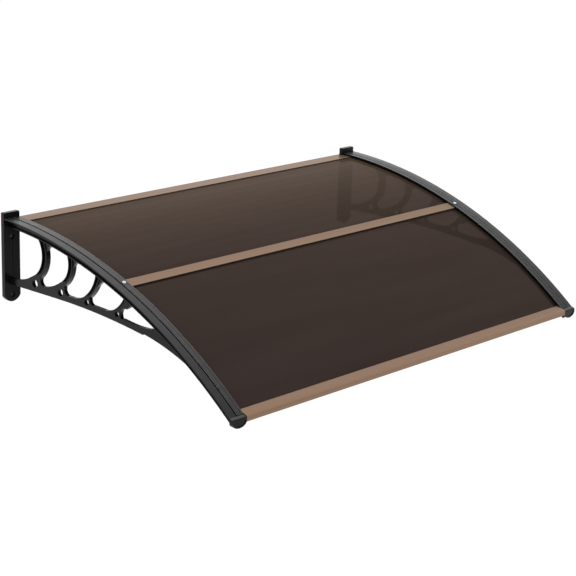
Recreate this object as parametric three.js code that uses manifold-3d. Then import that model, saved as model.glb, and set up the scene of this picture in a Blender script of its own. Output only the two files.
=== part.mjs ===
// A door canopy that is screwed to a wall: two moulded brackets carry two curved
// sheets, held by three extruded bars and by a cover strip screwed along each rail.
// Millimetres, +Z up. The wall is the plane Y = 0, the canopy reaches out along -Y,
// and the origin is on the wall, midway, on the flat back of the rear bar.
import * as THREE from "three";
import { mergeVertices } from "three/addons/utils/BufferGeometryUtils.js";
import Module from "manifold-3d";

const wasm = await Module();
wasm.setup();

// Whole canopy
const WIDTH = 1200; // over the outer sides of the brackets
const REACH = 798; // from the wall to the front of the noses
const ARC_RADIUS = 1300; // top of the rails, which leave the wall level
const CREST_Z = 11; // heights of the brackets' features are measured from this level
const ARC_RISE = 1.7; // rail top at the wall over that level
const CLEARANCE = 0.3; // between pieces that touch
const ARC_STEP = 32; // longest straight piece of a long arc
const BEND_STEP = 6; // and of a bar's arc

// Rail, measured across from its outer side and down square to the arc
const RAIL_WIDTH = 41;
const OUTER_FLANGE = { width: 19.2, thickness: 3 };
const STEP_WALL = 3;
const SHEET_DEPTH = 8.2; // top of the sheet under the rail top
const SHEET_THICKNESS = 4;
const LEDGE_DEPTH = SHEET_DEPTH + SHEET_THICKNESS + CLEARANCE;
const LEDGE_THICKNESS = 3;
const RAIL_DEPTH = 23.3;
const WEB_CENTRE = RAIL_WIDTH / 2;
const WEB_THICKNESS = 4;
const RIM_WIDTH = 13;
const RIM_THICKNESS = 3;
const PAD_THICKNESS = 9; // the flat parts of the scrollwork
const RAIL_END = REACH - 10; // where the rail top meets the nose
const RIM_END = REACH - 19; // where the rim under the rail stops

// Wall plate
const PLATE = { outer: 0.8, inner: 3.6, thickness: 11, above: 14.4, below: 204.7 }; // past the rail
const PLATE_ROUND = { end: 25, corner: 2 };
const PLATE_GROOVE = { width: 2.4, depth: 0.8, top: -60.3, bottom: -133.5 };
const PLATE_HOLE_LEVELS = [-45, -188];
const PLATE_HOLE = { radius: 3.5, recessRadius: 7, recessDepth: 2.5 };

// Scrollwork below the rail. Every place is (distance from the wall, height over the rail
// top at the wall). Each opening k lies between bar k and bar k + 1.
const BARS = [
  {
    inner: { at: [75.8, -64.7], r: 60.4 },
    outer: { at: [79.3, -64.2], r: 73.5 },
    foot: -117.9,
    fan: { corner: [164.3, -39], end: -53.7 },
  },
  {
    inner: { at: [179.2, -62], r: 54.4 },
    outer: { at: [174.7, -57.7], r: 73.8 },
    foot: -118.5,
    fan: { corner: [258.8, -56.5], end: -69.7 },
  },
  {
    inner: { at: [240.3, -45.4], r: 92.4 },
    outer: { at: [231.9, -34.3], r: 117.4 },
    foot: -124.2,
    fan: { corner: [349.3, -81.3], end: -96.1 },
  },
  { inner: { at: [353.9, -54.4], r: 84.5 } },
];
const LOBES = [
  { at: [138.9, -125.8], r: 11.9 },
  { at: [229, -125.2], r: 12.5 },
  { at: [318.1, -128.8], r: 9.6 },
];
const EYES = [
  { at: [105.8, -137.7], r: 10 },
  { at: [201.4, -136.1], r: 9 },
  { at: [296.5, -136.1], r: 7.5 },
  { at: [403.2, -137.2], r: 7 },
];
const FIRST_FLOOR = { level: -146.1, radius: 160, end: 92.8, sideTop: -8, sideEnd: -113.4 };
const SECOND_FLOOR = { bend: [173.2, -131.3], end: -111 };
const ROUND_TOP = -20; // where the round sides of the openings start, inside the rail
const FAN_BEND = { out: 8, up: 9, down: 4 }; // how a bar widens into the rail
const TEARDROP = {
  at: [432.9, -135.4],
  r: 17.6,
  floor: [[421.9, -143.8], [446, -144.9], [506.4, -152.9], [536.7, -134.6]],
  roof: [[535.5, -107.6], [456.1, -98.9], [444.7, -112.4]],
};
// The strut's underside rises straight from the wall and then bends down in an arc.
const STRUT = { foot: -161.7, start: 186.2, top: [278.5, -152.2], radius: 2200, end: 491.8 };
// The tail leaves the strut by a small step and meets the rail a little under its rim.
const TAIL = { step: { out: 1.9, up: 2.8 }, radius: 628.1, end: 636.1, drop: 1.6 };
const BAR_RIM = { inner: 2.2, outer: 3, above: 36, footShare: 0.82 };
const LAST_RIM = { top: -71.7, bottom: -129.6 };

// Nose at the end of each rail. Places are measured back from its front, and down from
// the end of the rail top.
const NOSE = { length: 11.8, sideDrop: 10.7, bottomDrop: 23.8, lip: 3, recess: 1.2, dish: 8 };
const NOSE_CREST = [
  { back: 3.4, drop: 1.8 },
  { back: 1.1, drop: 3.3 },
  { back: 0, drop: 5.8 },
];
const PEG = { top: { back: 8.6, drop: 4.8 }, bottom: { back: 3, drop: 11.6 }, slope: 3, length: 14 };

// Cover strip, pressed on the sheets and screwed to the ledge
const STRIP = { outer: 22.2, inner: 40.7, proud: 0.5, skin: 2.5, leg: 2.2, end: RAIL_END - 1 };
const STRIP_STEP = { from: 29.2, drop: 0.6 }; // the strip's inner part lies a little lower
const MIDDLE_BAR_DISTANCE = 411.1; // from the wall to its centre line and the two screws
const SCREW = { across: 30, radius: 2, length: 17, headRadius: 4.6, headHeight: 2.4, hole: 2.4 };
const BOSS_RADIUS = 5.5;
const BLOCK_HALF = 8; // solid part of the strip on both sides of a screw

// Sheets and bars
const SHEET_EDGE = 24; // from the bracket's outer side to the sheet's side edge
const BAR_END = RAIL_WIDTH + CLEARANCE;
const REAR_BAR_END = BAR_END + PLATE.inner;
const TONGUE_END = SHEET_EDGE + CLEARANCE;
const WALL_T = 1.8; // extruded walls
const REAR_BAR = {
  front: 38.3,
  topAtWall: -3.3,
  topAtFront: -4.5,
  flange: 1.2,
  lower: 30,
  bottom: -30,
  block: 5,
};
const WALL_GROOVE = { top: -19, bottom: -27, depth: 2.5 };
const MID_BAR = { width: 26, top: 3.5, flange: 1.6, box: 3.2, lowerWidth: 22 };
const MID_SHEET_GAP = 3.6; // from the middle bar's centre line to each sheet's edge
// The front bar's drops are measured from the rail top, over its back edge and at its end.
const FRONT_BAR = { depth: 24.9, backDrop: 5.4, frontDrop: 0.7, bottomDrop: 14.9, ease: 1.8 };
const FRONT_INSIDE = { sheetEnd: 15, lip: 6, bottom: 12, under: 5, wall: 2.2 };
const SEAL = { width: 5, inset: 1.8 };

const BLACK_PLASTIC = new THREE.MeshStandardMaterial({ color: 0x1b1b1c, roughness: 0.42, metalness: 0 });
const BRONZE_SHEET = new THREE.MeshStandardMaterial({ color: 0x4a3c34, roughness: 0.12, metalness: 0 });
const CHAMPAGNE = new THREE.MeshStandardMaterial({ color: 0xa78f80, roughness: 0.38, metalness: 0.8 });
const RUBBER = new THREE.MeshStandardMaterial({ color: 0x141414, roughness: 0.8, metalness: 0 });
const STEEL = new THREE.MeshStandardMaterial({ color: 0xd9d9d9, roughness: 0.25, metalness: 1 });

// A closed geometry as a solid that can be joined and cut.
function solidOf(geometry) {
  geometry.deleteAttribute("normal");
  geometry.deleteAttribute("uv");
  const merged = mergeVertices(geometry, 1e-4);
  return new wasm.Manifold(
    new wasm.Mesh({
      numProp: 3,
      vertProperties: merged.attributes.position.array,
      triVerts: new Uint32Array(merged.index.array),
    }),
  );
}

function meshOf(name, solid, material) {
  const data = solid.getMesh();
  const geometry = new THREE.BufferGeometry();
  geometry.setAttribute("position", new THREE.BufferAttribute(data.vertProperties, 3));
  geometry.setIndex(new THREE.BufferAttribute(data.triVerts, 1));
  geometry.computeVertexNormals();
  const mesh = new THREE.Mesh(geometry, material);
  mesh.name = name;
  return mesh;
}

const joined = (solids) => solids.reduce((a, b) => a.add(b));
const cut = (solid, tools) => tools.reduce((a, b) => a.subtract(b), solid);
const point = (distance, z) => new THREE.Vector2(distance, z);

// Distances across are measured from a bracket's outer side towards the middle.
const rangeAcross = (side, from, to) =>
  [side * (WIDTH / 2 - from), side * (WIDTH / 2 - to)].sort((a, b) => a - b);

// An outline of (distance from the wall, height) points, extruded along X.
function slab(outline, [xFrom, xTo], holes = []) {
  const shape = new THREE.Shape(outline);
  shape.holes = holes.map((hole) => new THREE.Path(hole));
  const geometry = new THREE.ExtrudeGeometry(shape, { depth: xTo - xFrom, bevelEnabled: false });
  const outFromWall = new THREE.Vector3(0, -1, 0);
  const up = new THREE.Vector3(0, 0, 1);
  const alongX = new THREE.Vector3(-1, 0, 0);
  geometry.applyMatrix4(new THREE.Matrix4().makeBasis(outFromWall, up, alongX));
  geometry.translate(xTo, 0, 0);
  return solidOf(geometry);
}

// An outline of (x, height) points, extruded outwards from one distance to another.
function panel(outline, from, to) {
  const geometry = new THREE.ExtrudeGeometry(new THREE.Shape(outline), {
    depth: to - from,
    bevelEnabled: false,
  });
  geometry.rotateX(Math.PI / 2);
  geometry.translate(0, -from, 0);
  return solidOf(geometry);
}

function arcPoints([cx, cz], radius, fromAngle, toAngle, step = BEND_STEP) {
  const count = Math.max(2, Math.ceil((Math.abs(toAngle - fromAngle) * radius) / step));
  const points = [];
  for (let i = 0; i <= count; i++) {
    const angle = fromAngle + ((toAngle - fromAngle) * i) / count;
    points.push(point(cx + radius * Math.cos(angle), cz + radius * Math.sin(angle)));
  }
  return points;
}

// The rail's arc: depth is square to it, and the angle starts upright at the wall.
const arcCentreZ = CREST_Z + ARC_RISE - ARC_RADIUS;
const arcAngle = (distance, depth = 0) => Math.asin(distance / (ARC_RADIUS - depth));
const onArc = (angle, depth) =>
  point(
    (ARC_RADIUS - depth) * Math.sin(angle),
    arcCentreZ + (ARC_RADIUS - depth) * Math.cos(angle),
  );
const upright = (distance) => (depth) => arcAngle(distance, depth);
const radial = (angle) => () => angle;

// Points along the arc at one depth. All rows share the same corners between their ends,
// so that faces which lie on each other match.
function arcRow(depth, startCut, endCut) {
  const from = startCut(depth);
  const to = endCut(depth);
  const angleStep = ARC_STEP / ARC_RADIUS;
  const points = [onArc(from, depth)];
  for (let i = Math.ceil(from / angleStep + 0.1); i * angleStep < to - 0.1 * angleStep; i++) {
    points.push(onArc(i * angleStep, depth));
  }
  points.push(onArc(to, depth));
  return points;
}

// Outline between two depths, from one cut to another.
const band = (topDepth, bottomDepth, startCut, endCut) => [
  ...arcRow(topDepth, startCut, endCut),
  ...arcRow(bottomDepth, startCut, endCut).reverse(),
];

// A group that stands on the rail top at a distance from the wall, +Z square to the arc.
function standOnArc(object, x, distance) {
  const angle = arcAngle(distance);
  const foot = onArc(angle, 0);
  object.position.set(x, -foot.x, foot.y);
  object.rotation.x = angle;
  return object;
}

// The same placing for a solid made about its own origin.
function movedToArc(solid, x, distance) {
  const holder = standOnArc(new THREE.Object3D(), x, distance);
  holder.updateMatrix();
  return solid.transform(holder.matrix.elements);
}

function rod(radius, top, bottom, sides = 16) {
  const geometry = new THREE.CylinderGeometry(radius, radius, top - bottom, sides);
  geometry.rotateX(Math.PI / 2);
  geometry.translate(0, 0, (top + bottom) / 2);
  return solidOf(geometry);
}

function box(halfX, halfY, top, bottom) {
  const geometry = new THREE.BoxGeometry(2 * halfX, 2 * halfY, top - bottom);
  geometry.translate(0, 0, (top + bottom) / 2);
  return solidOf(geometry);
}

const place = ([distance, level]) => [distance, CREST_Z + level];
const lowered = (points) => points.map((p) => point(p.x, p.y + CREST_Z));

// Point on the outward side of a circle at a given level.
const onOutside = ({ at: [cx, cz], r }, level) =>
  point(cx + Math.sqrt(r * r - (level - cz) ** 2), level);

// Part of a circle's outward side between two levels, as points.
function outsideArc(circle, fromLevel, toLevel) {
  const angle = (level) => Math.asin((level - circle.at[1]) / circle.r);
  return arcPoints(circle.at, circle.r, angle(fromLevel), angle(toLevel));
}

const grown = ({ at, r }, by) => ({ at, r: r + by });

// First opening, between the wall plate and the first bar.
function firstOpening() {
  const { level, radius, end, sideTop, sideEnd } = FIRST_FLOOR;
  const side = outsideArc(BARS[0].inner, sideTop, sideEnd);
  const sweep = Math.asin((end - PLATE.thickness) / radius);
  const down = -Math.PI / 2;
  const floor = arcPoints([PLATE.thickness, level + radius], radius, down + sweep, down);
  return lowered([point(0, 0), ...side, ...floor, point(0, level)]);
}

// Opening between two bars: fan, left side, lobe, floor and the next bar's round side.
function middleOpening(k) {
  const left = BARS[k];
  const right = BARS[k + 1].inner;
  const lobe = LOBES[k];
  const [cornerX, cornerZ] = left.fan.corner;
  const fan = new THREE.QuadraticBezierCurve(
    point(cornerX + FAN_BEND.out, cornerZ + FAN_BEND.up),
    onOutside(left.outer, cornerZ - FAN_BEND.down),
    onOutside(left.outer, left.fan.end),
  ).getPoints(6);
  const side = outsideArc(left.outer, left.fan.end, left.foot);
  const foot = side[side.length - 1];
  const startAngle = Math.atan2(foot.y - lobe.at[1], foot.x - lobe.at[0]);
  const endAngle = startAngle < 0 ? -Math.PI / 2 : 1.5 * Math.PI;
  const lobeArc = arcPoints(lobe.at, lobe.r, startAngle, endAngle, 2.5);
  const floorEnd = k === 0 ? SECOND_FLOOR.end : right.at[1] - 0.995 * right.r;
  const round = outsideArc(right, floorEnd, ROUND_TOP);
  const floor = new THREE.QuadraticBezierCurve(
    lobeArc[lobeArc.length - 1],
    k === 0 ? point(...SECOND_FLOOR.bend) : round[0],
    round[0],
  ).getPoints(k === 0 ? 6 : 1);
  return lowered([...fan, ...side.slice(1), ...lobeArc.slice(1), ...floor.slice(1, -1), ...round]);
}

// Last opening, a teardrop that ends where the strut runs into the rail.
function lastOpening() {
  const { at, r, floor, roof } = TEARDROP;
  const end = arcPoints(at, r, 0.433 * Math.PI, 1.183 * Math.PI, BEND_STEP / 2);
  const bottom = new THREE.CubicBezierCurve(...floor.map((p) => point(...p))).getPoints(12);
  return lowered([...roof.map((p) => point(...p)), ...end, ...bottom]);
}

// The flat scrollwork with its openings, before the bars get their rims.
function scrollOutline() {
  const { start, radius, end } = STRUT;
  const [topAt, topLevel] = STRUT.top;
  const angle = (distance) => Math.acos((distance - topAt) / radius);
  const underside = arcPoints([topAt, topLevel - radius], radius, angle(start), angle(end), ARC_STEP);
  const strut = lowered(underside);
  const strutEnd = strut[strut.length - 1];
  const tailStart = point(strutEnd.x + TAIL.step.out, strutEnd.y + TAIL.step.up);
  const tailEnd = onArc(arcAngle(TAIL.end, RAIL_DEPTH), RAIL_DEPTH);
  tailEnd.y -= TAIL.drop;
  const inPlate = PLATE.thickness / 2;
  const top = arcRow(RAIL_DEPTH - 1, upright(inPlate), upright(TAIL.end));
  const foot = point(inPlate, CREST_Z + STRUT.foot);
  return [foot, ...strut, ...arcBetween(tailStart, tailEnd, TAIL.radius), ...top.reverse()];
}

// Arc from one point to another that bulges up, as points.
function arcBetween(from, to, radius) {
  const chord = to.clone().sub(from);
  const middle = from.clone().add(to).multiplyScalar(0.5);
  const drop = Math.sqrt(radius ** 2 - chord.lengthSq() / 4) / chord.length();
  const centre = point(middle.x + chord.y * drop, middle.y - chord.x * drop);
  const angle = (p) => Math.atan2(p.y - centre.y, p.x - centre.x);
  return arcPoints([centre.x, centre.y], radius, angle(from), angle(to), 2 * BEND_STEP);
}

// Ring along a bar between two circles, from the rail to its foot.
function barBand(inner, outer, topLevel, innerFoot, outerFoot) {
  const inside = outsideArc(inner, topLevel, innerFoot);
  const outside = outsideArc(outer, topLevel, outerFoot);
  return lowered([...inside, ...outside.reverse()]);
}

function scrollwork(side) {
  const centred = (thickness) =>
    rangeAcross(side, WEB_CENTRE - thickness / 2, WEB_CENTRE + thickness / 2);
  const openings = [firstOpening(), middleOpening(0), middleOpening(1), middleOpening(2), lastOpening()];
  const eyes = EYES.map(({ at, r }) => arcPoints(place(at), r, 0, 2 * Math.PI, 3).slice(0, -1));
  const tooWide = centred(RIM_WIDTH + 2);
  let body = slab(scrollOutline(), centred(PAD_THICKNESS));
  body = cut(body, [...openings, ...eyes].map((outline) => slab(outline, tooWide)));
  for (const bar of BARS.filter((b) => b.outer)) {
    const top = bar.fan.end + BAR_RIM.above;
    const innerFoot = bar.inner.at[1] - BAR_RIM.footShare * bar.inner.r;
    const hollow = barBand(
      grown(bar.inner, BAR_RIM.inner),
      grown(bar.outer, -BAR_RIM.outer),
      top,
      innerFoot,
      bar.foot + 14,
    );
    const [low, high] = centred(WEB_THICKNESS);
    const reach = PAD_THICKNESS;
    body = cut(body, [slab(hollow, [low - reach, low]), slab(hollow, [high, high + reach])]);
    const innerRim = barBand(bar.inner, grown(bar.inner, BAR_RIM.inner), top, innerFoot, innerFoot);
    const outerRim = barBand(grown(bar.outer, -BAR_RIM.outer), bar.outer, top, bar.foot, bar.foot);
    body = joined([body, slab(innerRim, centred(RIM_WIDTH)), slab(outerRim, centred(RIM_WIDTH))]);
  }
  const { inner } = BARS[3];
  const { top, bottom } = LAST_RIM;
  const lastRim = barBand(inner, grown(inner, BAR_RIM.inner), top, bottom, bottom);
  const aboveRail = slab(band(-40, RAIL_DEPTH - 1, upright(0), upright(TAIL.end + 20)), tooWide);
  return body.add(slab(lastRim, centred(RIM_WIDTH))).subtract(aboveRail);
}

function wallPlate(side) {
  const [left, right] = rangeAcross(side, -PLATE.outer, RAIL_WIDTH + PLATE.inner);
  const middle = (left + right) / 2;
  const half = (right - left) / 2;
  const dip = PLATE_ROUND.end - Math.sqrt(PLATE_ROUND.end ** 2 - half ** 2);
  const top = CREST_Z + PLATE.above;
  const bottom = CREST_Z - PLATE.below;
  const halfSweep = Math.asin(half / PLATE_ROUND.end);
  const c = PLATE_ROUND.corner;
  const rounded = arcPoints(
    [middle, bottom + PLATE_ROUND.end],
    PLATE_ROUND.end,
    1.5 * Math.PI - halfSweep,
    1.5 * Math.PI + halfSweep,
    3,
  );
  const outline = [
    point(left, top - c),
    point(left, bottom + dip),
    ...rounded.slice(1, -1),
    point(right, bottom + dip),
    point(right, top - c),
    point(right - c, top),
    point(left + c, top),
  ];
  const holes = PLATE_HOLE_LEVELS.flatMap((level) => {
    const z = CREST_Z + level;
    const circle = (r) => arcPoints([middle, z], r, 0, 2 * Math.PI, 2).slice(0, -1);
    return [
      panel(circle(PLATE_HOLE.radius), -1, PLATE.thickness + 1),
      panel(circle(PLATE_HOLE.recessRadius), PLATE.thickness - PLATE_HOLE.recessDepth, PLATE.thickness + 1),
    ];
  });
  const g = PLATE_GROOVE;
  const groove = lowered([
    point(middle - g.width / 2, g.top),
    point(middle - g.width / 2, g.bottom),
    point(middle + g.width / 2, g.bottom),
    point(middle + g.width / 2, g.top),
  ]);
  const tools = [...holes, panel(groove, PLATE.thickness - g.depth, PLATE.thickness + 1)];
  return cut(panel(outline, 0, PLATE.thickness), tools);
}

const noseLevel = (drop) => onArc(arcAngle(RAIL_END), 0).y - drop;
const nosePoint = ({ back, drop }) => point(REACH - back, noseLevel(drop));

// Outline of the nose from the front: straight sides over a round bottom.
function noseCup([left, right], inset, top) {
  const half = (right - left) / 2 - inset;
  const depth = NOSE.bottomDrop - NOSE.sideDrop - inset;
  const bottom = [];
  for (let i = 0; i <= 16; i++) {
    const angle = Math.PI + (Math.PI * i) / 16;
    const x = (left + right) / 2 + half * Math.cos(angle);
    bottom.push(point(x, noseLevel(NOSE.sideDrop) + depth * Math.sin(angle)));
  }
  return [point(left + inset, top), ...bottom, point(right - inset, top)];
}

function nose(side) {
  const across = rangeAcross(side, 0, RAIL_WIDTH);
  const underside = NOSE.bottomDrop + NOSE.lip;
  const profile = [
    point(RAIL_END + 0.2, noseLevel(0)),
    ...NOSE_CREST.map(nosePoint),
    nosePoint({ back: 0, drop: underside }),
    nosePoint({ back: NOSE.length, drop: underside }),
  ];
  const cup = noseCup(across, 0, noseLevel(-NOSE.length));
  const block = slab(profile.reverse(), across).intersect(
    panel(cup, REACH - 2 * NOSE.length, REACH + NOSE.length),
  );
  const dish = noseCup(across, NOSE.lip, noseLevel(NOSE.dish));
  return block.subtract(panel(dish, REACH - NOSE.recess, REACH + NOSE.lip));
}

function bracket(side) {
  const start = upright(PLATE.thickness - 1);
  const end = upright(RAIL_END);
  const deepEnd = upright(REACH - 6);
  const stepFrom = OUTER_FLANGE.width - STEP_WALL;
  const underLedge = LEDGE_DEPTH + LEDGE_THICKNESS;
  const across = (from, to) => rangeAcross(side, from, to);
  const centred = (width) => across(WEB_CENTRE - width / 2, WEB_CENTRE + width / 2);
  const railEnd = upright(RIM_END);
  const parts = [
    wallPlate(side),
    slab(band(0, OUTER_FLANGE.thickness, start, upright(RAIL_END + 0.5)), across(0, OUTER_FLANGE.width)),
    slab(band(0, underLedge, start, end), across(stepFrom, OUTER_FLANGE.width)),
    slab(band(LEDGE_DEPTH, underLedge, start, deepEnd), across(stepFrom, RAIL_WIDTH)),
    slab(band(LEDGE_DEPTH + 1, RAIL_DEPTH, start, railEnd), centred(WEB_THICKNESS)),
    slab(band(RAIL_DEPTH - RIM_THICKNESS, RAIL_DEPTH, start, railEnd), centred(RIM_WIDTH)),
    nose(side),
    scrollwork(side),
    slab(pegOutline(), across(RAIL_WIDTH - 1, RAIL_WIDTH + PEG.length)),
  ];
  const boss = rod(BOSS_RADIUS, -LEDGE_DEPTH - 1, -RAIL_DEPTH + 1);
  parts.push(movedToArc(boss, screwX(side), MIDDLE_BAR_DISTANCE));
  return joined(parts).subtract(screwBore(side));
}

// Peg on the inner side of the nose that carries the front bar.
function pegOutline() {
  const { top, bottom, slope } = PEG;
  return [
    nosePoint(top),
    nosePoint({ back: top.back, drop: bottom.drop }),
    nosePoint(bottom),
    nosePoint({ back: bottom.back, drop: top.drop + slope }),
  ];
}

// Clearance hole for a screw through whatever it passes.
const screwX = (side) => side * (WIDTH / 2 - SCREW.across);
const screwBore = (side) =>
  movedToArc(rod(SCREW.hole, SCREW.length, -RAIL_DEPTH - SCREW.length), screwX(side), MIDDLE_BAR_DISTANCE);

// Top of the rear bar as a line that slopes down from the wall.
function rearTop(distance, lift = 0) {
  const { topAtWall, topAtFront, front } = REAR_BAR;
  const share = distance / front;
  return point(distance, CREST_Z + topAtWall + (topAtFront - topAtWall) * share + lift);
}

function rearFlange(from) {
  const { front, flange } = REAR_BAR;
  return [rearTop(from), rearTop(from, -flange), rearTop(front, -flange), rearTop(front)];
}

function rearBar() {
  const under = LEDGE_DEPTH;
  const z = (level) => CREST_Z + level;
  const lowerFlange = band(under, under + WALL_T, upright(1), upright(REAR_BAR.lower));
  const back = [
    point(0, z(REAR_BAR.topAtWall)),
    point(0, z(WALL_GROOVE.top)),
    point(WALL_GROOVE.depth, z(WALL_GROOVE.top)),
    point(WALL_GROOVE.depth, z(WALL_GROOVE.bottom)),
    point(0, z(WALL_GROOVE.bottom)),
    point(0, z(REAR_BAR.bottom)),
    point(REAR_BAR.block, z(REAR_BAR.bottom)),
    point(REAR_BAR.block, z(WALL_GROOVE.top + 2)),
    point(WALL_T, z(WALL_GROOVE.top + 2)),
    rearTop(WALL_T),
  ];
  const length = [-WIDTH / 2 + REAR_BAR_END, WIDTH / 2 - REAR_BAR_END];
  const tongue = [-WIDTH / 2 + TONGUE_END, WIDTH / 2 - TONGUE_END];
  return joined([
    slab(back, length),
    slab(lowerFlange, length),
    slab(rearFlange(0.1), length),
    slab(rearFlange(PLATE.thickness + CLEARANCE), tongue),
  ]);
}

function middleBar() {
  const { width, top, flange, box: boxHalf, lowerWidth } = MID_BAR;
  const halfLength = WIDTH / 2 - BAR_END;
  const lowTop = -LEDGE_DEPTH;
  const parts = [
    box(WIDTH / 2 - TONGUE_END, width / 2, -top, -top - flange),
    box(halfLength, boxHalf, -top - flange / 2, lowTop - flange / 2),
    box(halfLength, lowerWidth / 2, lowTop, lowTop - flange),
  ];
  const hollow = box(halfLength + 5, boxHalf - 1.2, -top - flange, lowTop);
  const whole = movedToArc(joined(parts).subtract(hollow), 0, MIDDLE_BAR_DISTANCE);
  return cut(whole, [screwBore(-1), screwBore(1)]);
}

// Just over and just under the sheet at a distance from the wall.
const overSheet = (distance) =>
  onArc(arcAngle(distance, SHEET_DEPTH - CLEARANCE), SHEET_DEPTH - CLEARANCE);
const underSheet = (distance, depth = LEDGE_DEPTH) => onArc(arcAngle(distance, depth), depth);

// Top of the front bar as a line that slopes down to the nose.
function frontTop(distance, lift = 0) {
  const back = REACH - FRONT_BAR.depth;
  const high = onArc(arcAngle(back), 0).y - FRONT_BAR.backDrop;
  const low = noseLevel(FRONT_BAR.frontDrop);
  const share = (distance - back) / (FRONT_BAR.depth - FRONT_BAR.ease);
  return point(distance, high + (low - high) * share + lift);
}

function frontBar() {
  const { depth, bottomDrop, ease } = FRONT_BAR;
  const { sheetEnd, lip, bottom, under, wall } = FRONT_INSIDE;
  const back = REACH - depth;
  const slotEnd = REACH - sheetEnd + 2 * CLEARANCE;
  const low = noseLevel(bottomDrop);
  const outline = [
    frontTop(back),
    frontTop(REACH - ease),
    frontTop(REACH - ease, -ease).add(point(ease, 0)),
    point(REACH, low + ease),
    point(REACH - ease, low),
    point(REACH - bottom, low),
    underSheet(back - under, LEDGE_DEPTH + WALL_T),
    underSheet(back - under),
    underSheet(slotEnd),
    overSheet(slotEnd),
    overSheet(back + lip),
    frontTop(back + lip, -WALL_T),
    frontTop(back, -WALL_T),
  ].reverse();
  const chamber = [
    frontTop(slotEnd + WALL_T, -wall),
    point(slotEnd + WALL_T, low + wall),
    point(REACH - WALL_T, low + wall),
    frontTop(REACH - WALL_T, -wall),
  ];
  return slab(outline, [-WIDTH / 2 + BAR_END, WIDTH / 2 - BAR_END], [chamber]);
}

// A sheet runs between two cuts and reaches under both cover strips.
function sheet(startCut, endCut, tools = []) {
  const across = [-WIDTH / 2 + SHEET_EDGE, WIDTH / 2 - SHEET_EDGE];
  return cut(slab(band(SHEET_DEPTH, SHEET_DEPTH + SHEET_THICKNESS, startCut, endCut), across), tools);
}

// The sheets' edges inside the middle bar, as cuts square to the arc.
function middleCut(direction) {
  const gap = MID_SHEET_GAP / (ARC_RADIUS - SHEET_DEPTH);
  return radial(arcAngle(MIDDLE_BAR_DISTANCE) + direction * gap);
}

function rearSheet() {
  const start = upright(WALL_T + 3 * CLEARANCE);
  return sheet(start, middleCut(-1), plateNotches());
}

function frontSheet() {
  const end = upright(REACH - FRONT_INSIDE.sheetEnd);
  return sheet(middleCut(1), end);
}

// Room for the wall plates in the rear sheet's corners.
function plateNotches() {
  const end = PLATE.thickness + 2 * CLEARANCE;
  const top = PLATE.above;
  const bottom = -PLATE.below;
  const notch = lowered([point(-1, top), point(-1, bottom), point(end, bottom), point(end, top)]);
  return [-1, 1].map((side) => slab(notch, rangeAcross(side, 0, REAR_BAR_END)));
}

function coverStrip(side) {
  const { outer, inner, proud, skin, leg, end } = STRIP;
  const under = SHEET_DEPTH - CLEARANCE;
  const start = PLATE.thickness + CLEARANCE;
  const body = slab(band(-proud, under, upright(start), upright(end)), rangeAcross(side, outer, inner));
  const stretches = [
    [REAR_BAR.front + BLOCK_HALF, MIDDLE_BAR_DISTANCE - 2 * BLOCK_HALF],
    [MIDDLE_BAR_DISTANCE + 2 * BLOCK_HALF, REACH - 2 * NOSE.length],
  ];
  const between = rangeAcross(side, outer + leg, inner - leg);
  const hollows = stretches.map(([from, to]) =>
    slab(band(skin - proud, under + 2, upright(from), upright(to)), between),
  );
  const lowPart = band(-proud - 1, STRIP_STEP.drop - proud, upright(0), upright(REACH));
  const rearEnd = REAR_BAR.front + CLEARANCE;
  const rearSpace = [
    rearTop(0, CLEARANCE),
    point(0, CREST_Z + REAR_BAR.bottom),
    point(rearEnd, CREST_Z + REAR_BAR.bottom),
    rearTop(rearEnd, CLEARANCE),
  ];
  const halfSpace = MID_BAR.width / 2 + CLEARANCE;
  const middleSpace = box(RAIL_WIDTH, halfSpace, -MID_BAR.top + CLEARANCE, -RAIL_DEPTH);
  return cut(body, [
    ...hollows,
    slab(lowPart, rangeAcross(side, STRIP_STEP.from, inner + 1)),
    slab(rearSpace, rangeAcross(side, TONGUE_END - CLEARANCE, RAIL_WIDTH + 5)),
    movedToArc(middleSpace, side * (WIDTH / 2 - TONGUE_END + CLEARANCE - RAIL_WIDTH), MIDDLE_BAR_DISTANCE),
    screwBore(side),
  ]);
}

// Pan-head screw with its head's underside at its own origin.
function screwGeometry() {
  const { radius, length, headRadius, headHeight } = SCREW;
  const profile = [
    point(0, -length),
    point(radius - 0.8, -length + 0.6),
    point(radius, -length + 3),
    point(radius, 0),
    point(headRadius, 0),
    point(headRadius, 0.6),
    point(headRadius * 0.82, headHeight * 0.72),
    point(headRadius * 0.45, headHeight * 0.95),
    point(0, headHeight),
  ];
  const geometry = new THREE.LatheGeometry(profile, 18);
  geometry.rotateX(Math.PI / 2);
  return geometry;
}

function screw(name, side) {
  const mesh = meshOf(name, solidOf(screwGeometry()), STEEL);
  mesh.position.z = STRIP.proud + CLEARANCE;
  const group = new THREE.Group();
  group.add(mesh);
  return standOnArc(group, screwX(side), MIDDLE_BAR_DISTANCE);
}

// Rubber strips: behind the rear bar, and between each bar and the sheets.
function wallSeal(across) {
  const { top, bottom, depth } = WALL_GROOVE;
  const high = CREST_Z + top - CLEARANCE;
  const low = CREST_Z + bottom + CLEARANCE;
  const front = depth - CLEARANCE;
  return slab([point(0, high), point(0, low), point(front, low), point(front, high)], across);
}

function rearSheetSeal(across) {
  const near = REAR_BAR.front - SEAL.inset - SEAL.width;
  const far = REAR_BAR.front - SEAL.inset;
  const lift = -REAR_BAR.flange - CLEARANCE;
  return slab([rearTop(near, lift), overSheet(near), overSheet(far), rearTop(far, lift)], across);
}

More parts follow.
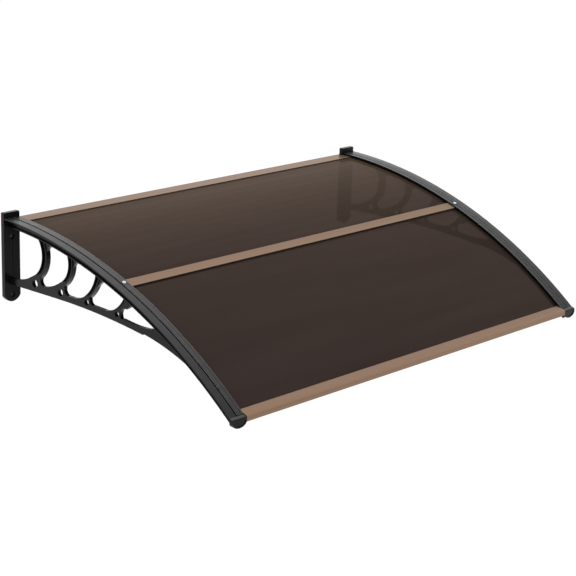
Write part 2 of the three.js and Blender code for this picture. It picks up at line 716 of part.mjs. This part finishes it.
function middleSeal(across, direction) {
  const top = -MID_BAR.top - MID_BAR.flange - CLEARANCE;
  const bottom = -SHEET_DEPTH + CLEARANCE;
  const centre = direction * (MID_BAR.width / 2 - SEAL.inset - SEAL.width / 2);
  const geometry = new THREE.BoxGeometry(across[1] - across[0], SEAL.width, top - bottom);
  geometry.translate(0, centre, (top + bottom) / 2);
  return movedToArc(solidOf(geometry), 0, MIDDLE_BAR_DISTANCE);
}

function frontSeal(across) {
  const back = REACH - FRONT_BAR.depth;
  const near = back + (FRONT_INSIDE.lip - SEAL.width) / 2;
  const far = near + SEAL.width;
  const lift = -WALL_T - CLEARANCE;
  return slab([frontTop(near, lift), overSheet(near), overSheet(far), frontTop(far, lift)], across);
}

function canopy() {
  const group = new THREE.Group();
  const sealLength = [-WIDTH / 2 + REAR_BAR_END, WIDTH / 2 - REAR_BAR_END];
  group.add(
    meshOf("bracket_left", bracket(-1), BLACK_PLASTIC),
    meshOf("bracket_right", bracket(1), BLACK_PLASTIC),
    meshOf("cover_strip_left", coverStrip(-1), BLACK_PLASTIC),
    meshOf("cover_strip_right", coverStrip(1), BLACK_PLASTIC),
    meshOf("rear_bar", rearBar(), CHAMPAGNE),
    meshOf("middle_bar", middleBar(), CHAMPAGNE),
    meshOf("front_bar", frontBar(), CHAMPAGNE),
    meshOf("rear_sheet", rearSheet(), BRONZE_SHEET),
    meshOf("front_sheet", frontSheet(), BRONZE_SHEET),
    meshOf("wall_seal", wallSeal(sealLength), RUBBER),
    meshOf("rear_sheet_seal", rearSheetSeal(sealLength), RUBBER),
    meshOf("middle_seal_upper", middleSeal(sealLength, 1), RUBBER),
    meshOf("middle_seal_lower", middleSeal(sealLength, -1), RUBBER),
    meshOf("front_sheet_seal", frontSeal(sealLength), RUBBER),
    screw("screw_left", -1),
    screw("screw_right", 1),
  );
  return group;
}

export default canopy();
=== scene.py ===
import math

import bpy
from mathutils import Matrix, Vector

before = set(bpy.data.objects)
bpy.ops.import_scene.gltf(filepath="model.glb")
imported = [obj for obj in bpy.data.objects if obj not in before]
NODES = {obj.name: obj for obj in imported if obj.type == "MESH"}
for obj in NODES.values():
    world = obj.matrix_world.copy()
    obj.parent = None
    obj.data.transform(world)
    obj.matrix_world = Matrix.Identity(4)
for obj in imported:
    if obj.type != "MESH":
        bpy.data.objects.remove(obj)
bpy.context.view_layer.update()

# The photograph's camera, solved from the rails, the bars and the wall plates' edges
CAMERA_AT = Vector((-2.8468, -3.1360, 1.0357))
YAW = 0.794491
PITCH = 0.298078
ROLL = 0.033073
FOCAL_PX = 1682.29
CENTRE_PX = (282.784, 286.106)
IMAGE_PX = 576
SENSOR_MM = 36.0
CLIP_END = 100

# An even world and one large soft lamp above the canopy
WORLD_STRENGTH = 0.5
LAMP_AT = Vector((-1.4, -1.6, 4.4))
LAMP_AIM = Vector((0, -0.4, -0.1))
LAMP_SIZE = 4.0
LAMP_POWER = 60

# The floor lies low enough to see the canopy from below
FLOOR_LEVEL = -3.4
FLOOR_HALF = 30
FLOOR_LIT = 0.8
FLOOR_SEEN = 0.3
FLOOR_GLOW = 0.86

# The values that a noise mostly takes
NOISE_LOW = 0.3
NOISE_HIGH = 0.7

# A mix node's sockets for colours, which share their names with those for numbers
COLOUR_A = 6
COLOUR_B = 7
COLOUR_RESULT = 2


def make_camera():
    data = bpy.data.cameras.new("photo_camera")
    camera = bpy.data.objects.new("photo_camera", data)
    bpy.context.scene.collection.objects.link(camera)
    cy, sy = math.cos(YAW), math.sin(YAW)
    cp, sp = math.cos(PITCH), math.sin(PITCH)
    right = Vector((cy, -sy, 0))
    ahead = Vector((sy * cp, cy * cp, -sp))
    up = Vector((sy * sp, cy * sp, cp))
    turned_right = math.cos(ROLL) * right + math.sin(ROLL) * up
    turned_up = -math.sin(ROLL) * right + math.cos(ROLL) * up
    turn = Matrix((turned_right, turned_up, -ahead)).transposed()
    camera.matrix_world = Matrix.Translation(CAMERA_AT) @ turn.to_4x4()
    data.sensor_width = SENSOR_MM
    data.lens = FOCAL_PX * SENSOR_MM / IMAGE_PX
    data.shift_x = (IMAGE_PX / 2 - CENTRE_PX[0]) / IMAGE_PX
    data.shift_y = (CENTRE_PX[1] - IMAGE_PX / 2) / IMAGE_PX
    data.dof.use_dof = False
    data.clip_end = CLIP_END
    bpy.context.scene.camera = camera


def rgba(red, green, blue):
    return (red, green, blue, 1)


def grey(value):
    """A grey with a trace of blue, as the black plastic has."""
    return rgba(value, value, value * 1.03)


class Tree:
    """The nodes of a material or world, with short calls to add and join them."""

    def __init__(self, owner, output_kind="ShaderNodeOutputMaterial"):
        self.owner = owner
        owner.use_nodes = True
        self.nodes = owner.node_tree.nodes
        self.links = owner.node_tree.links
        self.nodes.clear()
        self.output = self.nodes.new(output_kind)

    def node(self, kind, **values):
        made = self.nodes.new(kind)
        for key, value in values.items():
            setattr(made, key, value)
        return made

    def put(self, socket, value):
        """Join another node's output to the socket, or set a plain value."""
        if hasattr(value, "is_output"):
            self.links.new(value, socket)
        else:
            socket.default_value = value

    def show(self, shader):
        self.links.new(shader, self.output.inputs["Surface"])

    def noise(self, size, stretch=(1, 1, 1), detail=3.0, roughness=0.5):
        """Noise fixed to the piece: size sets how fine, stretch how fine along each axis."""
        coordinates = self.node("ShaderNodeTexCoord")
        mapping = self.node("ShaderNodeMapping")
        self.put(mapping.inputs["Vector"], coordinates.outputs["Object"])
        self.put(mapping.inputs["Scale"], stretch)
        made = self.node("ShaderNodeTexNoise")
        self.put(made.inputs["Vector"], mapping.outputs["Vector"])
        self.put(made.inputs["Scale"], size)
        self.put(made.inputs["Detail"], detail)
        self.put(made.inputs["Roughness"], roughness)
        return made.outputs["Fac"]

    def span(self, value, low, high, start=0.0, end=1.0):
        """Low to high, as the value goes from start to end."""
        made = self.node("ShaderNodeMapRange")
        self.put(made.inputs["Value"], value)
        self.put(made.inputs["From Min"], start)
        self.put(made.inputs["From Max"], end)
        self.put(made.inputs["To Min"], low)
        self.put(made.inputs["To Max"], high)
        return made.outputs["Result"]

    def vary(self, noise, low, high):
        """A number that follows a noise."""
        return self.span(noise, low, high, NOISE_LOW, NOISE_HIGH)

    def tint(self, noise, dark, light):
        """A colour that follows a noise."""
        made = self.node("ShaderNodeValToRGB")
        self.put(made.inputs["Fac"], noise)
        first, last = made.color_ramp.elements
        first.position, first.color = NOISE_LOW, dark
        last.position, last.color = NOISE_HIGH, light
        return made.outputs["Color"]

    def maths(self, operation, first, second):
        made = self.node("ShaderNodeMath", operation=operation)
        self.put(made.inputs[0], first)
        self.put(made.inputs[1], second)
        return made.outputs[0]

    def blend(self, share, first, second):
        mixer = self.node("ShaderNodeMix", data_type="RGBA")
        self.put(mixer.inputs["Factor"], share)
        self.put(mixer.inputs[COLOUR_A], first)
        self.put(mixer.inputs[COLOUR_B], second)
        return mixer.outputs[COLOUR_RESULT]

    def bump(self, height, strength, distance, normal=None):
        made = self.node("ShaderNodeBump")
        self.put(made.inputs["Height"], height)
        self.put(made.inputs["Strength"], strength)
        self.put(made.inputs["Distance"], distance)
        if normal is not None:
            self.put(made.inputs["Normal"], normal)
        return made.outputs["Normal"]

    def principled(self, **values):
        shader = self.node("ShaderNodeBsdfPrincipled")
        for key, value in values.items():
            name = key.replace("_", " ").title().replace("Ior", "IOR")
            self.put(shader.inputs[name], value)
        self.show(shader.outputs["BSDF"])

    def diffuse(self, value):
        shader = self.node("ShaderNodeBsdfDiffuse")
        self.put(shader.inputs["Color"], rgba(value, value, value))
        return shader.outputs["BSDF"]

    def white(self, kind, strength):
        """White light from an emission or background node."""
        shader = self.node(kind)
        self.put(shader.inputs["Color"], rgba(1, 1, 1))
        self.put(shader.inputs["Strength"], strength)
        return shader.outputs[0]

    def show_by_ray(self, lighting, seen):
        """One shader for light that falls on the canopy, another for what is seen: by the
        camera, in a mirror or through glass."""
        path = self.node("ShaderNodeLightPath")
        share = path.outputs["Is Camera Ray"]
        for name in ("Is Glossy Ray", "Is Transmission Ray"):
            share = self.maths("MAXIMUM", share, path.outputs[name])
        mix = self.node("ShaderNodeMixShader")
        self.put(mix.inputs["Fac"], share)
        self.links.new(lighting, mix.inputs[1])
        self.links.new(seen, mix.inputs[2])
        self.show(mix.outputs[0])


def sharp_edges(tree, radius):
    """1 on sharp edges and 0 on flat faces: where a rounded normal leaves the true one."""
    rounded = tree.node("ShaderNodeBevel", samples=6)
    tree.put(rounded.inputs["Radius"], radius)
    geometry = tree.node("ShaderNodeNewGeometry")
    same = tree.node("ShaderNodeVectorMath", operation="DOT_PRODUCT")
    tree.put(same.inputs[0], rounded.outputs["Normal"])
    tree.put(same.inputs[1], geometry.outputs["True Normal"])
    edge_wear_and_highlight = tree.span(same.outputs["Value"], 1, 0, start=0.75, end=0.99)
    return edge_wear_and_highlight, rounded.outputs["Normal"]


def openness(tree, distance):
    """1 where a face lies open, down to 0 deep in a recess."""
    shade = tree.node("ShaderNodeAmbientOcclusion", samples=8)
    tree.put(shade.inputs["Distance"], distance)
    return tree.span(shade.outputs["AO"], 0, 1, start=0.55, end=1)


def facing_up(tree):
    """1 on faces that look up, 0 on upright ones."""
    geometry = tree.node("ShaderNodeNewGeometry")
    parts = tree.node("ShaderNodeSeparateXYZ")
    tree.put(parts.inputs[0], geometry.outputs["True Normal"])
    return tree.span(parts.outputs["Z"], 0, 1, start=0.7, end=1)


def plastic(name, dark, light, painted_top_highlight, edge_wear_and_highlight, edge_radius, side_gloss_in_painted_shade, ior):
    """Black moulded plastic: fine grain, clouds in gloss and tone, a painted highlight where
    it faces the sky, greyer along its edges from wear and a painted highlight, and duller on
    its sides and in its recesses from painted shade."""
    tree = Tree(bpy.data.materials.new(name))
    clouds = tree.noise(22, detail=4)
    grain = tree.noise(1500, detail=2)
    patches = tree.span(tree.noise(60, detail=4), 0.4, 1, start=0.4, end=0.6)
    edges, rounded = sharp_edges(tree, edge_radius)
    is_open = openness(tree, 0.05)
    up = facing_up(tree)
    # Painted highlight: open faces that look up are blended towards a lighter grey, as if
    # lit from above.
    sky_facing = tree.maths("MULTIPLY", up, is_open)
    # Painted shade: the reflection's tint drops on upright faces and falls to black deep in
    # recesses.
    gloss_under_painted_shade = tree.maths("MULTIPLY", tree.span(up, side_gloss_in_painted_shade, 1), is_open)
    patchy_edges = tree.maths("MULTIPLY", edges, patches)
    # Greyer edges: partly wear, partly a painted highlight, kept mostly to open faces that
    # look up.
    rubbed_and_highlit = tree.maths("MULTIPLY", patchy_edges, gloss_under_painted_shade)
    body = tree.tint(clouds, grey(dark), grey(light))
    body_with_painted_top = tree.blend(sky_facing, body, grey(painted_top_highlight))
    tree.principled(
        base_color=tree.blend(rubbed_and_highlit, body_with_painted_top, grey(edge_wear_and_highlight)),
        roughness=tree.vary(clouds, 0.22, 0.34),
        specular_tint=tree.blend(gloss_under_painted_shade, grey(0), grey(1)),
        ior=ior,
        normal=tree.bump(grain, 0.12, 0.0002, rounded),
    )
    return tree.owner


def smoke_sheet():
    """Smoke-brown polycarbonate, polished, with faint draw lines and cloudiness."""
    tree = Tree(bpy.data.materials.new("smoke_sheet"))
    draw = tree.noise(3, stretch=(0.6, 9, 9))
    tree.principled(
        base_color=tree.tint(draw, rgba(0.047, 0.033, 0.031), rgba(0.057, 0.041, 0.038)),
        roughness=tree.vary(draw, 0.05, 0.09),
        transmission_weight=0.6,
        ior=1.045,
        sheen_weight=0.45,
        sheen_roughness=0.4,
        sheen_tint=rgba(1, 0.66, 0.42),
    )
    return tree.owner


def anodised():
    """Champagne anodised extrusion with fine lines along X and brighter edges, partly wear
    and partly a painted highlight.
    """
    tree = Tree(bpy.data.materials.new("champagne_anodised"))
    lines = tree.noise(1, stretch=(1.2, 420, 420), roughness=0.6)
    broad = tree.noise(1, stretch=(0.8, 70, 70), detail=2)
    both = tree.maths("ADD", tree.span(lines, 0, 0.5), tree.span(broad, 0, 0.5))
    edges, rounded = sharp_edges(tree, 0.0008)
    metal = tree.tint(both, rgba(0.25, 0.15, 0.092), rgba(0.33, 0.21, 0.14))
    # Lighter edges: partly wear, partly a painted highlight.
    half_wear_and_highlight = tree.maths("MULTIPLY", edges, 0.5)
    tree.principled(
        base_color=tree.blend(half_wear_and_highlight, metal, rgba(0.42, 0.34, 0.28)),
        metallic=0.8,
        roughness=tree.vary(lines, 0.33, 0.45),
        normal=tree.bump(lines, 0.15, 0.0004, rounded),
    )
    return tree.owner


def rubber():
    tree = Tree(bpy.data.materials.new("rubber"))
    grain = tree.noise(700)
    tree.principled(
        base_color=tree.tint(grain, rgba(0.022, 0.018, 0.016), rgba(0.034, 0.028, 0.025)),
        roughness=0.8,
        normal=tree.bump(grain, 0.2, 0.0003),
    )
    return tree.owner


def bright_steel():
    tree = Tree(bpy.data.materials.new("bright_steel"))
    spots = tree.noise(900, detail=2)
    tree.principled(
        base_color=tree.tint(spots, rgba(0.7, 0.7, 0.71), rgba(0.85, 0.85, 0.86)),
        metallic=1.0,
        roughness=tree.vary(spots, 0.15, 0.28),
    )
    return tree.owner


def make_floor():
    """A white floor: seen, it glows a little below white and keeps the canopy's shadow."""
    mesh = bpy.data.meshes.new("floor")
    signs = [(-1, -1), (1, -1), (1, 1), (-1, 1)]
    corners = [(x * FLOOR_HALF, y * FLOOR_HALF, FLOOR_LEVEL) for x, y in signs]
    mesh.from_pydata(corners, [], [(0, 1, 2, 3)])
    floor = bpy.data.objects.new("floor", mesh)
    bpy.context.scene.collection.objects.link(floor)
    tree = Tree(bpy.data.materials.new("pale_floor"))
    seen = tree.node("ShaderNodeAddShader")
    tree.links.new(tree.diffuse(FLOOR_SEEN), seen.inputs[0])
    tree.links.new(tree.white("ShaderNodeEmission", FLOOR_GLOW), seen.inputs[1])
    tree.show_by_ray(tree.diffuse(FLOOR_LIT), seen.outputs[0])
    mesh.materials.append(tree.owner)


def make_world():
    world = bpy.data.worlds.new("studio")
    bpy.context.scene.world = world
    tree = Tree(world, "ShaderNodeOutputWorld")
    lighting = tree.white("ShaderNodeBackground", WORLD_STRENGTH)
    seen = tree.white("ShaderNodeBackground", 1.0)
    tree.show_by_ray(lighting, seen)


def make_lamp():
    data = bpy.data.lights.new("key", "AREA")
    data.shape = "SQUARE"
    data.size = LAMP_SIZE
    data.energy = LAMP_POWER
    lamp = bpy.data.objects.new("key", data)
    bpy.context.scene.collection.objects.link(lamp)
    lamp.location = LAMP_AT
    lamp.rotation_euler = (LAMP_AIM - LAMP_AT).to_track_quat("-Z", "Y").to_euler()


def dress(material, names):
    for name in names:
        mesh = NODES[name].data
        mesh.materials.clear()
        mesh.materials.append(material)


bpy.context.scene.view_settings.view_transform = "Standard"
make_camera()
make_world()
make_floor()
make_lamp()

BRACKET_PLASTIC = plastic(
    "black_plastic",
    dark=0.005,
    light=0.009,
    # painted highlight on the open faces that look up
    painted_top_highlight=0.024,
    # edge grey: wear and a painted highlight
    edge_wear_and_highlight=0.12,
    edge_radius=0.0007,
    # reflection share left on upright faces: painted shade
    side_gloss_in_painted_shade=0.12,
    ior=1.55,
)
STRIP_PLASTIC = plastic(
    "strip_plastic",
    dark=0.004,
    light=0.008,
    # painted highlight on the open faces that look up
    painted_top_highlight=0.022,
    # edge grey: wear and a painted highlight
    edge_wear_and_highlight=0.5,
    edge_radius=0.003,
    # reflection share left on upright faces: painted shade
    side_gloss_in_painted_shade=0.3,
    ior=1.58,
)
dress(BRACKET_PLASTIC, ["bracket_left", "bracket_right"])
dress(STRIP_PLASTIC, ["cover_strip_left", "cover_strip_right"])
dress(smoke_sheet(), ["rear_sheet", "front_sheet"])
dress(anodised(), ["rear_bar", "middle_bar", "front_bar"])
dress(rubber(), [name for name in NODES if "seal" in name])
dress(bright_steel(), ["screw_left", "screw_right"])
